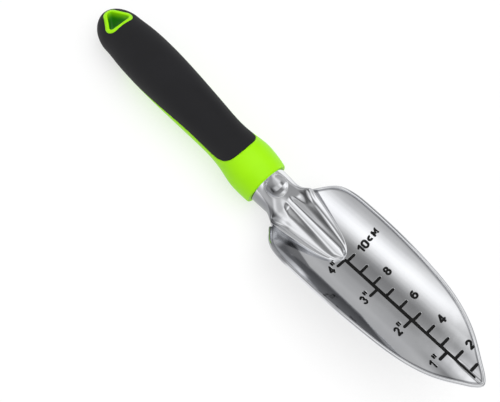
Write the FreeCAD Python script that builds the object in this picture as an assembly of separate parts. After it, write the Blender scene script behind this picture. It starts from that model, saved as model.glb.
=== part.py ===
import FreeCAD, Part
import math
import os

# A hand trowel: a cast aluminium scoop with its neck and tang in one piece, a moulded plastic handle
# core around the tang, a soft grip moulded over the core, and a depth scale in black infill paint.
#
# All sizes are millimetres. The trowel is drawn in its own tool frame: the tip of the blade is the
# origin, +X points from the handle to the tip, +Z is out of the scoop, and z = 0 is the scoop's floor.
# At the end every piece is laid down: pitched until the collar's lip and the underside of the butt lie
# on one level surface, with the origin at the bottom centre of the whole trowel.

V = FreeCAD.Vector
X_AXIS = V(1, 0, 0)
Y_AXIS = V(0, 1, 0)

# ---- driving dimensions -------------------------------------------------------------------------

# Blade: part of a cylinder, with a bead rolled round its edge.
SCOOP_RADIUS = 37.0
BLADE_WALL = 1.8
BEAD_RADIUS = 1.15
BEAD_LAYER = 0.8
BEAD_SECTIONS = 56
BLADE_BACK = -145.4
BLADE_REACH = (-180.0, 20.0)
BLADE_HEIGHTS = (-12.0, 30.0)

# Half of the bead's centre line in plan, from the tip to the back corner beside the neck.
RIM_LINE = [
    (-1.15, 0.0), (-2.4, 2.3), (-8.6, 7.3), (-20.4, 15.3), (-30.9, 20.3), (-43.9, 24.1),
    (-62.0, 26.8), (-86.0, 28.7), (-112.0, 29.4), (-126.0, 28.8), (-134.6, 26.5), (BLADE_BACK, 17.4),
]

# Tongue: the flattened end of the neck that lies on the blade, with two raised lips and a middle rib.
TONGUE_TIP = -102.9
TONGUE_BACK = -144.5
TONGUE_HALF_WIDTH = 16.3
TONGUE_TIP_POWER = 0.40
TONGUE_BACK_TAPER = 45.0
TONGUE_LIP = (0.9, 4.5)
TONGUE_STATIONS = [
    -152.0, -148.0, TONGUE_BACK, -140.0, -134.0, -127.0, -119.0, -112.0, -107.0, -104.6, -103.4,
]
RIB_CREST = (2.3, 11.0)
RIB_HALF_WIDTH = 4.3
RIB_SHARE = 0.62
RIB_POWER = 2.6
VALLEY_DEPTH = 1.7
VALLEY_LEAN = 2.4

# Neck: x, height of its middle, half width, height above and depth below the middle.
NECK_STATIONS = [
    (-172.0, 6.8, 12.8, 13.4, 11.2), (-158.0, 6.4, 12.6, 12.6, 10.6), (-151.0, 5.4, 12.3, 8.8, 9.4),
    (-144.0, 3.0, 11.5, 6.6, 7.4), (-133.0, 0.6, 9.2, 4.6, 5.2), (-121.0, -0.4, 5.6, 2.4, 2.5),
    (-113.0, -0.9, 2.6, 1.0, 0.9),
]
THUMB_DISH = (-154.8, 23.0, 9.8)

# Tang: a flat tapered bar inside the core, with holes that lock it in the plastic.
TANG_START = (-166.0, 6.9)
TANG_LENGTH = 88.0
TANG_PITCH = 14.0
TANG_ROOT = (15.0, 10.0)
TANG_END = (10.0, 6.5)
TANG_HOLES = (34.0, 62.0)
TANG_HOLE_RADIUS = 2.75

# Handle: x, height of the middle, half width, height above and depth below the middle. The collar ends
# at its lip, square to the handle's own line: COLLAR_LIP is the lip's top, and its bottom leans back.
HANDLE_STATIONS = [
    (-163.3, 5.9, 14.0, 15.0, 12.4), (-167.0, 7.3, 15.3, 15.8, 13.5), (-173.0, 9.5, 16.2, 16.2, 14.2),
    (-181.0, 12.2, 16.5, 16.2, 14.3), (-190.5, 15.0, 15.0, 14.6, 13.6), (-201.0, 17.6, 13.9, 13.4, 13.0),
    (-214.0, 20.8, 14.3, 13.8, 13.2), (-234.0, 25.4, 15.5, 15.0, 14.0), (-254.0, 29.7, 16.4, 15.8, 14.5),
    (-272.0, 33.2, 16.5, 15.5, 14.2), (-286.0, 35.4, 15.7, 14.5, 13.5),
]
COLLAR_LIP = (-163.2, 21.0)
COLLAR_LEAN = 13.5
COLLAR_TRIM = (20.0, 80.0)
BUTT_START = (-295.0, 36.5, 14.8, 13.5, 12.8)
BUTT_END = (-314.6, 37.6)
BUTT_STEPS = 7
BUTT_TURN = 84.0
BUTT_SIDE_POWER = 0.9
BUTT_HEIGHT_POWER = 0.7
UNDERSIDE_POWER = 2.6
HANDLE_SEAM = -90.0
GRIP_WALL = 2.2

# Side view of the grip's edge, from above the collar, round the nose and back under the butt. The
# grip's region runs from there to GRIP_REACH behind the butt and above the handle, and across it.
GRIP_REACH = (-330.0, 60.0)
GRIP_SPREAD = 40.0
GRIP_EDGE = [
    (-182.2, 34.0), (-183.6, 28.2), (-186.6, 24.6), (-191.5, 21.6), (-198.0, 20.1), (-206.0, 20.9),
    (-218.0, 23.9), (-232.0, 26.2), (-250.0, 27.6), (-268.0, 27.6), (-284.0, 25.6), (-294.0, 22.2),
    (-299.0, 16.0),
]

# Hang hole: a triangle of three round corners, each given by its distance from the butt's end, its
# side and its radius. The core's rim round the hole is HANG_RIM_WALL wide.
HANG_CORNERS = [(15.8, 5.3, 4.6), (15.8, -5.3, 4.6), (8.1, 0.0, 5.2)]
HANG_RIM_WALL = 2.7
HANG_HEIGHTS = (-5.0, 60.0)

# Depth scale: both halves are read from the tip.
PAINT_SINK = 0.10
PAINT_DEPTH = 0.30
LINE_WIDTH = 1.65
LINE_START = -101.9
LINE_TAPER = -24.0
LINE_END = -6.0
LINE_END_WIDTH = 0.6
TICK_WIDTH = 1.55
TICK_REACH = 6.6
INCH = 25.4
DIGIT_HEIGHT = 5.3
STROKE = 1.05
CM_TEXT_AT = 9.6
INCH_TEXT_AT = -12.4
CM_TEXT_LEAD = 0.4
INCH_TEXT_LEAD = -0.6
UNIT_LETTERS = (("C", 7.2), ("M", 10.8))
UNIT_SIZE = 0.72
TEN_SPACING = 2.9
INCH_MARK = (-1.3, 4.2)

# Rest: the two supports are found on either side of BUTT_SPLIT, SUPPORT_SPAN apart.
BUTT_SPLIT = -260.0
SUPPORT_SPAN = 136.0
FIRST_PITCH = -13.0

# Points on each curve: round a section, round the bead's wire, and across the tongue.
OVAL_POINTS = 28
BEAD_POINTS = 12
TONGUE_POINTS = 16


# ---- small helpers ------------------------------------------------------------------------------

def spline(points, closed=False):
    curve = Part.BSplineCurve()
    curve.interpolate(Points=points, PeriodicFlag=closed)
    return curve.toShape()


def oval(x, middle, half_width, above, below, lower_power=2.0, seam=0.0):
    """A closed section across the tool: half an ellipse above, a half with a flatter bottom below.

    The surface's seam lies at this angle, in degrees up from the +Y side."""
    points = []
    for i in range(OVAL_POINTS):
        angle = 2 * math.pi * i / OVAL_POINTS + math.radians(seam)
        side = math.cos(angle)
        rise = math.sin(angle)
        power = 2.0 if rise >= 0 else lower_power
        y = half_width * math.copysign(abs(side) ** (2 / power), side)
        points.append(V(x, y, middle + rise * (above if rise >= 0 else below)))
    return Part.Wire([spline(points, closed=True)])


def loft(wires):
    return Part.makeLoft(wires, True, False)


def upright(face, low, high):
    """A prism standing on a flat face, between two heights."""
    base = face.copy()
    base.translate(V(0, 0, low - face.BoundBox.ZMin))
    return base.extrude(V(0, 0, high - low))


def scoop_layer(inner, outer):
    """The layer of the scoop's cylinder between two radii, longer and wider than the blade."""
    start = V(BLADE_REACH[0], 0, SCOOP_RADIUS)
    length = BLADE_REACH[1] - BLADE_REACH[0]
    big = Part.makeCylinder(outer, length, start, X_AXIS)
    return big.cut(Part.makeCylinder(inner, length, start, X_AXIS))


def scoop_height(y, radius=SCOOP_RADIUS):
    """Height of the cylinder of this radius at y."""
    return SCOOP_RADIUS - math.sqrt(radius ** 2 - y ** 2)


# ---- head ---------------------------------------------------------------------------------------

def rim_curve(layer=None):
    """The bead's centre line round the blade: in plan, or lying in one layer of the scoop."""
    both = [(x, -y) for x, y in reversed(RIM_LINE[1:])] + RIM_LINE
    points = [V(x, y, 0 if layer is None else scoop_height(y, layer)) for x, y in both]
    return spline(points)


def bead():
    edge = rim_curve(SCOOP_RADIUS + BEAD_LAYER)
    rings = []
    for i in range(BEAD_SECTIONS + 1):
        part = edge.FirstParameter + (edge.LastParameter - edge.FirstParameter) * i / BEAD_SECTIONS
        middle = edge.valueAt(part)
        along = edge.tangentAt(part)
        aside = along.cross(V(0, 0, 1)).normalize()
        upward = aside.cross(along)
        turns = [2 * math.pi * k / BEAD_POINTS for k in range(BEAD_POINTS)]
        ring = [middle + (aside * math.cos(a) + upward * math.sin(a)) * BEAD_RADIUS for a in turns]
        rings.append(Part.Wire([spline(ring, closed=True)]))
    return loft(rings)


def blade(grooves):
    """The sheet with the scale's grooves cut in it, and the bead round its edge."""
    plan = rim_curve()
    back = Part.makeLine(plan.valueAt(plan.LastParameter), plan.valueAt(plan.FirstParameter))
    outline = Part.Face(Part.Wire([plan, back]))
    sheet = upright(outline, *BLADE_HEIGHTS).common(scoop_layer(SCOOP_RADIUS, SCOOP_RADIUS + BLADE_WALL))
    return sheet.cut(grooves).fuse(bead())


def tongue_section(x):
    """A closed section across the tongue: ribbed top, upright sides, underside inside the blade."""
    along = (TONGUE_TIP - x) / (TONGUE_TIP - TONGUE_BACK)
    if along <= 1:
        half_width = TONGUE_HALF_WIDTH * along ** TONGUE_TIP_POWER
    else:
        half_width = TONGUE_HALF_WIDTH - TONGUE_BACK_TAPER * (along - 1)
    reach = min(along, 1)
    edge = scoop_height(half_width) + TONGUE_LIP[0] + (TONGUE_LIP[1] - TONGUE_LIP[0]) * reach
    crest = RIB_CREST[0] + (RIB_CREST[1] - RIB_CREST[0]) * along
    rib_width = min(RIB_HALF_WIDTH, RIB_SHARE * half_width)
    top = []
    for i in range(TONGUE_POINTS + 1):
        y = half_width * (2 * i / TONGUE_POINTS - 1)
        across = abs(y) / half_width
        rib = math.exp(-abs(y / rib_width) ** RIB_POWER)
        valley = VALLEY_DEPTH * reach * math.sin(math.pi * across ** VALLEY_LEAN) ** 2
        top.append(V(x, y, edge - valley + (crest - edge) * rib))
    mid_wall = SCOOP_RADIUS + BLADE_WALL / 2
    low = [V(x, y, scoop_height(y, mid_wall)) for y in (half_width, 0.0, -half_width)]
    upper = spline(top)
    under = spline(low)
    return Part.Wire([upper, Part.makeLine(top[-1], low[0]), under, Part.makeLine(low[-1], top[0])])


def tongue():
    return loft([tongue_section(x) for x in TONGUE_STATIONS])


def neck():
    body = loft([oval(*station) for station in NECK_STATIONS])
    x, height, radius = THUMB_DISH
    return body.cut(Part.makeSphere(radius, V(x, 0, height)))


def tang():
    def bar_end(size, along):
        width, height = size
        corners = [V(-along, side * width / 2, lift * height / 2)
                   for side, lift in ((-1, -1), (1, -1), (1, 1), (-1, 1), (-1, -1))]
        return Part.makePolygon(corners)

    bar = loft([bar_end(TANG_ROOT, 0), bar_end(TANG_END, TANG_LENGTH)])
    for along in TANG_HOLES:
        pin = Part.makeCylinder(TANG_HOLE_RADIUS, 2 * TANG_ROOT[0], V(-along, -TANG_ROOT[0], 0), Y_AXIS)
        bar = bar.cut(pin)
    bar.rotate(V(0, 0, 0), Y_AXIS, TANG_PITCH)
    bar.translate(V(TANG_START[0], 0, TANG_START[1]))
    return bar


# ---- depth scale --------------------------------------------------------------------------------

# Strokes of each sign in a box one unit high. A stroke is a list of corners, or ("arc", three points),
# or ("ring", centre x, centre y, radius).
SIGNS = {
    "0": [("arc", (0.0, 0.66), (0.29, 1.0), (0.58, 0.66)), [(0.58, 0.66), (0.58, 0.34)],
          ("arc", (0.58, 0.34), (0.29, 0.0), (0.0, 0.34)), [(0.0, 0.34), (0.0, 0.66)]],
    "1": [[(0.0, 0.76), (0.3, 1.0), (0.3, 0.0)]],
    "2": [("arc", (0.02, 0.74), (0.3, 1.0), (0.53, 0.6)), [(0.53, 0.6), (0.0, 0.0), (0.6, 0.0)]],
    "3": [("arc", (0.03, 0.8), (0.48, 0.88), (0.24, 0.54)),
          ("arc", (0.24, 0.54), (0.53, 0.12), (0.0, 0.18))],
    "4": [[(0.44, 0.0), (0.44, 1.0), (0.0, 0.28), (0.62, 0.28)]],
    "6": [("ring", 0.29, 0.29, 0.29), ("arc", (0.0, 0.3), (0.1, 0.82), (0.52, 0.92))],
    "8": [("ring", 0.29, 0.27, 0.27), ("ring", 0.29, 0.77, 0.23)],
    "C": [("arc", (0.6, 0.82), (0.0, 0.5), (0.6, 0.18))],
    "M": [[(0.0, 0.0), (0.0, 1.0), (0.43, 0.3), (0.86, 1.0), (0.86, 0.0)]],
    "inch": [[(0.0, 1.0), (0.0, 0.68)], [(0.3, 1.0), (0.3, 0.68)]],
}


def stroke_faces(stroke, place):
    """Flat faces, STROKE wide, that cover one stroke."""
    half = STROKE / 2
    if stroke[0] == "ring":
        centre = place(stroke[1], stroke[2])
        radius = (place(stroke[1], stroke[2] + stroke[3]) - centre).Length
        disc = Part.Face(Part.Wire(Part.makeCircle(radius + half, centre)))
        return [disc.cut(Part.Face(Part.Wire(Part.makeCircle(radius - half, centre))))]
    if stroke[0] == "arc":
        points = [place(*point) for point in stroke[1:]]
        middle = Part.Arc(*points).toShape().Curve.Center
        inner = []
        outer = []
        for on in points:
            away = (on - middle).normalize() * half
            inner.append(on - away)
            outer.append(on + away)
        edges = [Part.Arc(*inner).toShape(), Part.makeLine(inner[2], outer[2]),
                 Part.Arc(*reversed(outer)).toShape(), Part.makeLine(outer[0], inner[0])]
        return [Part.Face(Part.Wire(edges))]
    faces = []
    for start, end in zip(stroke, stroke[1:]):
        first = place(*start)
        last = place(*end)
        aside = (last - first).cross(V(0, 0, 1)).normalize() * half
        corners = [first - aside, last - aside, last + aside, first + aside, first - aside]
        faces.append(Part.Face(Part.makePolygon(corners)))
        faces.append(Part.Face(Part.Wire(Part.makeCircle(half, first))))
        faces.append(Part.Face(Part.Wire(Part.makeCircle(half, last))))
    return faces


def sign_faces(sign, x, y, height):
    """A sign that reads along +Y with its top toward the handle; its middle height lies at x."""
    scale = height - STROKE

    def place(across, up):
        return V(x - (up - 0.5) * scale, y + across * scale + STROKE / 2, 0)

    faces = []
    for stroke in SIGNS[sign]:
        faces += stroke_faces(stroke, place)
    return faces


def in_scoop(faces, inner, outer):
    """Flat faces as solids in a layer of the scoop's floor."""
    prisms = [upright(face, *BLADE_HEIGHTS) for face in faces]
    joined = prisms[0].multiFuse(prisms[1:]) if len(prisms) > 1 else prisms[0]
    return joined.common(scoop_layer(inner, outer)).removeSplitter()


def tick_face(x, side):
    """A depth mark from the middle line outward, with a round end."""
    half = TICK_WIDTH / 2
    start = side * LINE_WIDTH / 2
    end = side * (TICK_REACH - half)
    corners = [V(x - half, start, 0), V(x + half, start, 0), V(x + half, end, 0), V(x - half, end, 0)]
    round_end = Part.Arc(corners[2], V(x, end + side * half, 0), corners[3]).toShape()
    edges = [Part.makeLine(corners[3], corners[0]), Part.makeLine(corners[0], corners[1]),
             Part.makeLine(corners[1], corners[2]), round_end]
    return Part.Face(Part.Wire(edges))


def scale_faces():
    """The flat faces of each painted part of the scale."""
    half = LINE_WIDTH / 2
    thin = LINE_END_WIDTH / 2
    line = [V(LINE_START, -half, 0), V(LINE_TAPER, -half, 0), V(LINE_END, -thin, 0), V(LINE_END, thin, 0),
            V(LINE_TAPER, half, 0), V(LINE_START, half, 0), V(LINE_START, -half, 0)]
    ten = CM_TEXT_LEAD - 100.0
    cm_signs = sign_faces("1", ten, CM_TEXT_AT, DIGIT_HEIGHT)
    cm_signs += sign_faces("0", ten, CM_TEXT_AT + TEN_SPACING, DIGIT_HEIGHT)
    for letter, across in UNIT_LETTERS:
        cm_signs += sign_faces(letter, ten, CM_TEXT_AT + across, UNIT_SIZE * DIGIT_HEIGHT)
    for centimetres in (8, 6, 4, 2):
        at = CM_TEXT_LEAD - 10.0 * centimetres
        cm_signs += sign_faces(str(centimetres), at, CM_TEXT_AT, DIGIT_HEIGHT)
    inch_signs = []
    for inches in (1, 2, 3, 4):
        at = INCH_TEXT_LEAD - INCH * inches
        inch_signs += sign_faces(str(inches), at, INCH_TEXT_AT, DIGIT_HEIGHT)
        inch_signs += sign_faces("inch", at + INCH_MARK[0], INCH_TEXT_AT + INCH_MARK[1], DIGIT_HEIGHT)
    return {
        "scale_centre_line": [Part.Face(Part.makePolygon(line))],
        "scale_cm_ticks": [tick_face(-10.0 * k, 1) for k in range(1, 11)],
        "scale_inch_ticks": [tick_face(-INCH * k, -1) for k in range(1, 5)],
        "scale_cm_numerals": cm_signs,
        "scale_inch_numerals": inch_signs,
    }


# ---- handle -------------------------------------------------------------------------------------

def beyond_lip():
    """A block in front of the collar's lip, to cut the handle's end to its lean."""
    depth, size = COLLAR_TRIM
    block = Part.makeBox(depth, size, size, V(0, -size / 2, -0.75 * size))
    block.rotate(V(0, 0, 0), Y_AXIS, COLLAR_LEAN)
    block.translate(V(COLLAR_LIP[0], 0, COLLAR_LIP[1]))
    return block


def handle_body(inset=0.0):
    """The handle's outer form, or the same form drawn in all round by inset."""
    wires = []
    for x, middle, wide, above, below in HANDLE_STATIONS:
        section = (x, middle, wide - inset, above - inset, below - inset)
        wires.append(oval(*section, UNDERSIDE_POWER, HANDLE_SEAM))
    start_x, start_z, wide, above, below = BUTT_START
    end_x, end_z = BUTT_END
    for step in range(BUTT_STEPS):
        turn = math.radians(BUTT_TURN) * step / (BUTT_STEPS - 1)
        along = math.sin(turn)
        fall = math.cos(turn)
        x = start_x + (end_x + inset - start_x) * along
        middle = start_z + (end_z - start_z) * along
        shorter = fall ** BUTT_HEIGHT_POWER
        wires.append(oval(x, middle, (wide - inset) * fall ** BUTT_SIDE_POWER, (above - inset) * shorter,
                          (below - inset) * shorter, UNDERSIDE_POWER, HANDLE_SEAM))
    return loft(wires).cut(beyond_lip())


def grip_region():
    """Everything above and behind the grip's edge, as a slab across the handle."""
    points = [V(x, -GRIP_SPREAD, z) for x, z in GRIP_EDGE]
    far, top = GRIP_REACH
    around = [(far, points[-1].z), (far, top), (points[0].x, top)]
    corners = [points[-1]] + [V(x, -GRIP_SPREAD, z) for x, z in around] + [points[0]]
    lines = [Part.makeLine(a, b) for a, b in zip(corners, corners[1:])]
    return Part.Face(Part.Wire([spline(points)] + lines)).extrude(V(0, 2 * GRIP_SPREAD, 0))


def rounded_triangle(end, shrink):
    """The outline round the hang hole's three corner circles, each made smaller by shrink."""
    circles = [(V(end + x, y, 0), radius - shrink) for x, y, radius in HANG_CORNERS]
    turning = (circles[1][0] - circles[0][0]).cross(circles[2][0] - circles[0][0]).z
    side = math.copysign(1, turning)
    sides = []
    for i in range(3):
        here, here_radius = circles[i]
        there, there_radius = circles[(i + 1) % 3]
        along = (there - here).normalize()
        outward = V(along.y, -along.x, 0) * side
        lean = (here_radius - there_radius) / (there - here).Length
        normal = along * lean + outward * math.sqrt(1 - lean ** 2)
        sides.append((here + normal * here_radius, there + normal * there_radius, normal))
    edges = []
    for i in range(3):
        start, end_point, normal = sides[i]
        following, _, next_normal = sides[(i + 1) % 3]
        centre, radius = circles[(i + 1) % 3]
        middle = centre + (normal + next_normal).normalize() * radius
        edges.append(Part.makeLine(start, end_point))
        edges.append(Part.Arc(end_point, middle, following).toShape())
    return Part.Face(Part.Wire(edges))


# ---- whole trowel -------------------------------------------------------------------------------

def lowest(shape):
    return shape.optimalBoundingBox(False).ZMin


def lying_pitch(handle):
    """The pitch, in degrees, that brings the collar's lip and the butt to the same height."""
    box = handle.BoundBox
    split = Part.makeBox(BUTT_SPLIT - box.XMin, box.YLength, box.ZLength, V(box.XMin, box.YMin, box.ZMin))
    butt = handle.common(split)
    collar = handle.cut(split)
    pitch = FIRST_PITCH
    for _ in range(6):
        heights = []
        for half in (butt, collar):
            turned = half.copy()
            turned.rotate(V(0, 0, 0), Y_AXIS, pitch)
            heights.append(lowest(turned))
        pitch -= math.degrees(math.atan2(heights[0] - heights[1], SUPPORT_SPAN))
    return pitch


def lay_down(metal, handle, others):
    """Pitch and shift every shape, so that the trowel lies with its bottom centre at the origin."""
    pitch = lying_pitch(handle)
    shapes = [metal, handle] + others
    for shape in shapes:
        shape.rotate(V(0, 0, 0), Y_AXIS, pitch)
    box = Part.makeCompound([metal, handle]).optimalBoundingBox(False)
    shift = V(-(box.XMin + box.XMax) / 2, -(box.YMin + box.YMax) / 2, -box.ZMin)
    for shape in shapes:
        shape.translate(shift)


def make_trowel():
    paint = {}
    grooves = []
    floor = SCOOP_RADIUS + PAINT_SINK + PAINT_DEPTH
    for name, faces in scale_faces().items():
        paint[name] = in_scoop(faces, SCOOP_RADIUS + PAINT_SINK, floor)
        grooves.append(in_scoop(faces, SCOOP_RADIUS - 1, floor))
    metal = blade(grooves).fuse([tongue(), neck(), tang()])
    outer = handle_body()
    under_grip = outer.cut(handle_body(GRIP_WALL)).common(grip_region())
    lay_down(metal, outer, [under_grip] + list(paint.values()))
    end = outer.optimalBoundingBox(False).XMin
    rim = upright(rounded_triangle(end, 0), *HANG_HEIGHTS)
    hole = upright(rounded_triangle(end, HANG_RIM_WALL), *HANG_HEIGHTS)
    grip = under_grip.cut(rim)
    core = outer.cut([grip, metal, hole])
    return {"trowel_head": metal, "handle_core": core, "soft_grip": grip, **paint}


if __name__ == "__main__":
    os.makedirs("parts", exist_ok=True)
    for name, piece in make_trowel().items():
        piece.exportStep(f"parts/{name}.step")
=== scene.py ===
import math

import bmesh
import bpy
import numpy as np
from mathutils import Matrix, Vector
from mathutils.bvhtree import BVHTree


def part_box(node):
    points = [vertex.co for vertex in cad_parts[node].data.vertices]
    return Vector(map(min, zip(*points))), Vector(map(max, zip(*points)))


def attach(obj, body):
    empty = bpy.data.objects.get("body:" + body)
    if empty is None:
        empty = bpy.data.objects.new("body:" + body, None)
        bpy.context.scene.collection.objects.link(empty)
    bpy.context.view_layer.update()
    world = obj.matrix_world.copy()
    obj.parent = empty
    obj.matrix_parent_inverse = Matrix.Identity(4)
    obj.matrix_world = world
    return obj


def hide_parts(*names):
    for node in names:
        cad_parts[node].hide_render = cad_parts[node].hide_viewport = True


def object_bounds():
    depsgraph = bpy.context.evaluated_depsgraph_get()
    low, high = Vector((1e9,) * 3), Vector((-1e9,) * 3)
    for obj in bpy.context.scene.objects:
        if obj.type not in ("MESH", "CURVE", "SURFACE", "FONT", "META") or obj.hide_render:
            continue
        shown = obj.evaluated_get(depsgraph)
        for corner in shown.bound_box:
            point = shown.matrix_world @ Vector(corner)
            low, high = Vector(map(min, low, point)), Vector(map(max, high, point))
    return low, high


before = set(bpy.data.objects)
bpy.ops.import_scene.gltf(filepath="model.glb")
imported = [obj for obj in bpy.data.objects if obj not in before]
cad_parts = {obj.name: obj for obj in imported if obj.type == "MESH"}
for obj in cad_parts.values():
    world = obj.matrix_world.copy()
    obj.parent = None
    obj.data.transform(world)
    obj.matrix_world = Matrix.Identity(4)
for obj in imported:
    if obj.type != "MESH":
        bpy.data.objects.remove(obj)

# The looks of a hand trowel: a polished cast head, a lime plastic core with its raised hang-hole rim, a
# charcoal rubber grip with rounded edges, and black paint in an engraved depth scale.
#
# Shapes are drawn in millimetres in the tool's own frame: the blade's tip is the origin, +X points from the
# handle to the tip, +Z is out of the scoop and z = 0 is the scoop's floor. to_row() lays them down, pitched
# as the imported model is, in metres.

cad_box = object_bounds()

MM = 0.001
PITCH = math.radians(12.89)
TOOL_TURN = np.array([
    [math.cos(PITCH), 0, -math.sin(PITCH)], [0, 1, 0], [math.sin(PITCH), 0, math.cos(PITCH)],
])

# ---- driving sizes of the head ------------------------------------------------------------------

# RIM_LINE is half of the rim in plan: x and half width. The table of the near wall's painted dark
# reflection
# says how far out that darker foot starts: x and distance from the middle.
SCOOP_RADIUS = 37.0
BLADE_WALL = 1.8
BEAD_RADIUS = 1.15
BEAD_LAYER = 0.8
BLADE_BACK = -145.4
RIM_LINE = [
    (-1.15, 0.0), (-2.4, 2.3), (-8.6, 7.3), (-20.4, 15.3), (-30.9, 20.3), (-43.9, 24.1),
    (-62.0, 26.8), (-86.0, 28.7), (-112.0, 29.4), (-126.0, 28.8), (-134.6, 26.5), (BLADE_BACK, 17.4),
]
CREASE_DEPTH = 0.55
CREASE_WIDTH = 1.0
CREASE_FROM = (-26.0, -12.0)
PAINTED_SHADE_START = [
    (-140.0, 14.0), (-127.0, 15.0), (-111.0, 19.0), (-71.0, 19.3), (-63.0, 21.0), (-47.0, 23.5),
    (-38.0, 26.0), (-30.0, 40.0),
]

TONGUE_TIP = -102.9
TONGUE_BACK = -144.5
TONGUE_HALF_WIDTH = 16.3
TONGUE_TIP_POWER = 0.40
TONGUE_LIP = (0.9, 4.5)
RIB_CREST = (2.3, 11.0)
RIB_HALF_WIDTH = 4.3
RIB_SHARE = 0.62
RIB_POWER = 2.6
VALLEY_DEPTH = 1.7
VALLEY_LEAN = 2.4
SHOULDER = (-155.0, -144.5)
SHOULDER_LAG = 9.0

# Neck: x, height of its middle, half width, height above and depth below the middle.
NECK_STATIONS = [
    (-172.0, 6.8, 12.8, 13.4, 11.2), (-158.0, 6.4, 12.6, 12.6, 10.6), (-151.0, 5.4, 12.3, 8.8, 9.4),
    (-144.0, 3.0, 11.5, 6.6, 7.4), (-133.0, 0.6, 9.2, 4.6, 5.2), (-121.0, -0.4, 5.6, 2.4, 2.5),
    (-113.0, -0.9, 2.6, 1.0, 0.9), (-103.0, -0.9, 1.0, 0.5, 0.3),
]
# The thumb dish is a sphere: x, height of its middle, radius. The dark reflection painted in it: x, y,
# size.
THUMB_DISH = (-154.8, 23.0, 9.8)
DISH_REFLECTION = (-157.4, -3.3, 3.9)

# The tang, hidden in the core: where it starts (x, z), and its width and height at both ends.
TANG_START = (-166.0, 6.9)
TANG_LENGTH = 88.0
TANG_PITCH = math.radians(14.0)
TANG_ROOT = (15.0, 10.0)
TANG_END = (10.0, 6.5)

GROOVE_FLARE = 0.32
GROOVE_RISE = 0.25

# ---- driving sizes of the handle ----------------------------------------------------------------

# Handle: x, height of its middle, half width, height above and depth below the middle.
HANDLE_STATIONS = [
    (-163.3, 5.9, 14.0, 15.0, 12.4), (-167.0, 7.3, 15.3, 15.8, 13.5), (-173.0, 9.5, 16.2, 16.2, 14.2),
    (-181.0, 12.2, 16.5, 16.2, 14.3), (-190.5, 15.0, 15.0, 14.6, 13.6), (-201.0, 17.6, 13.9, 13.4, 13.0),
    (-214.0, 20.8, 14.3, 13.8, 13.2), (-234.0, 25.4, 15.5, 15.0, 14.0), (-254.0, 29.7, 16.4, 15.8, 14.5),
    (-272.0, 33.2, 16.5, 15.5, 14.2), (-286.0, 35.4, 15.7, 14.5, 13.5),
]
BUTT_START = (-295.0, 36.5, 14.8, 13.5, 12.8)
BUTT_END = (-314.4, 37.6)
BUTT_STEPS = 9
UNDERSIDE_POWER = 2.6
COLLAR_LIP = (-163.2, 21.0)
COLLAR_LEAN = math.radians(13.5)
LIP_ROUND = 1.1
LIP_RECESS = 3.0
NECK_CLEARANCE = 0.15

# The edge of the rubber seen from the side: x, z.
GRIP_EDGE = [
    (-182.2, 34.0), (-183.6, 28.2), (-186.6, 24.6), (-191.5, 21.6), (-198.0, 20.1), (-206.0, 20.9),
    (-218.0, 23.9), (-232.0, 26.2), (-250.0, 27.6), (-268.0, 27.6), (-284.0, 25.6), (-294.0, 22.2),
    (-299.0, 16.0),
]
GRIP_ROUND = 0.55
GRIP_WALL = 1.8
CORE_SINK = 0.9

# The hang hole's corner circles: distance from the butt's end, y and radius. Its rim stands proud by
# HANG_RIM_PROUD, starts HANG_LIP_SINK below the skin, and closes in by HANG_DRAFT on its way down.
HANG_CORNERS = [(15.8, 5.3, 4.6), (15.8, -5.3, 4.6), (8.1, 0.0, 5.2)]
HANG_RIM_WALL = 2.7
HANG_RIM_PROUD = 0.45
HANG_LIP_SINK = 0.6
HANG_DRAFT = 1.2


# ---- mesh helpers -------------------------------------------------------------------------------

def natural(knots, values, at):
    """Values of the natural cubic spline through (knots, values), at the given places."""
    knots = np.asarray(knots, float)
    values = np.asarray(values, float)
    gaps = np.diff(knots)
    slopes = np.diff(values, axis=0) / gaps[:, None]
    system = np.eye(len(knots))
    right = np.zeros_like(values)
    for i in range(1, len(knots) - 1):
        system[i, i - 1:i + 2] = gaps[i - 1], 2 * (gaps[i - 1] + gaps[i]), gaps[i]
        right[i] = 6 * (slopes[i] - slopes[i - 1])
    bend = np.linalg.solve(system, right)
    cell = np.clip(np.searchsorted(knots, at) - 1, 0, len(gaps) - 1)
    run = (at - knots[cell])[..., None]
    gap = gaps[cell][..., None]
    first = slopes[cell] - gap * (2 * bend[cell] + bend[cell + 1]) / 6
    change = bend[cell + 1] - bend[cell]
    return values[cell] + run * (first + run * (bend[cell] / 2 + run * change / (6 * gap)))


def chord_knots(points):
    steps = np.linalg.norm(np.diff(np.asarray(points, float), axis=0), axis=1)
    return np.concatenate([[0.0], np.cumsum(steps)])


def smoothstep(value):
    value = np.clip(value, 0.0, 1.0)
    return value * value * (3 - 2 * value)


def soft_min(a, b, blend):
    """The smaller of a and b, with a rounded join blend wide."""
    share = np.clip(0.5 + (b - a) / (2 * blend), 0.0, 1.0)
    return b + (a - b) * share - blend * share * (1 - share)


def grid_faces(rows, columns, first=0, closed=False, flip=False):
    """Quads over a grid of points stored row by row, each row closed round if asked."""
    faces = []
    for i in range(rows - 1):
        for j in range(columns if closed else columns - 1):
            k = (j + 1) % columns
            quad = (first + i * columns + j, first + i * columns + k,
                    first + (i + 1) * columns + k, first + (i + 1) * columns + j)
            faces.append(quad[::-1] if flip else quad)
    return faces


def to_row(points):
    """Tool frame in millimetres to the row's frame in metres."""
    points = np.asarray(points, float)
    x, y, z = points[..., 0], points[..., 1], points[..., 2]
    turned = np.stack([x * math.cos(PITCH) - z * math.sin(PITCH), y,
                       x * math.sin(PITCH) + z * math.cos(PITCH)], axis=-1)
    return turned * MM + ROW_SHIFT


def tool_places(mesh):
    """The mesh's vertices in the tool frame, in millimetres."""
    places = np.empty(len(mesh.vertices) * 3)
    mesh.vertices.foreach_get("co", places)
    return (places.reshape(-1, 3) - ROW_SHIFT) @ TOOL_TURN / MM


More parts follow.
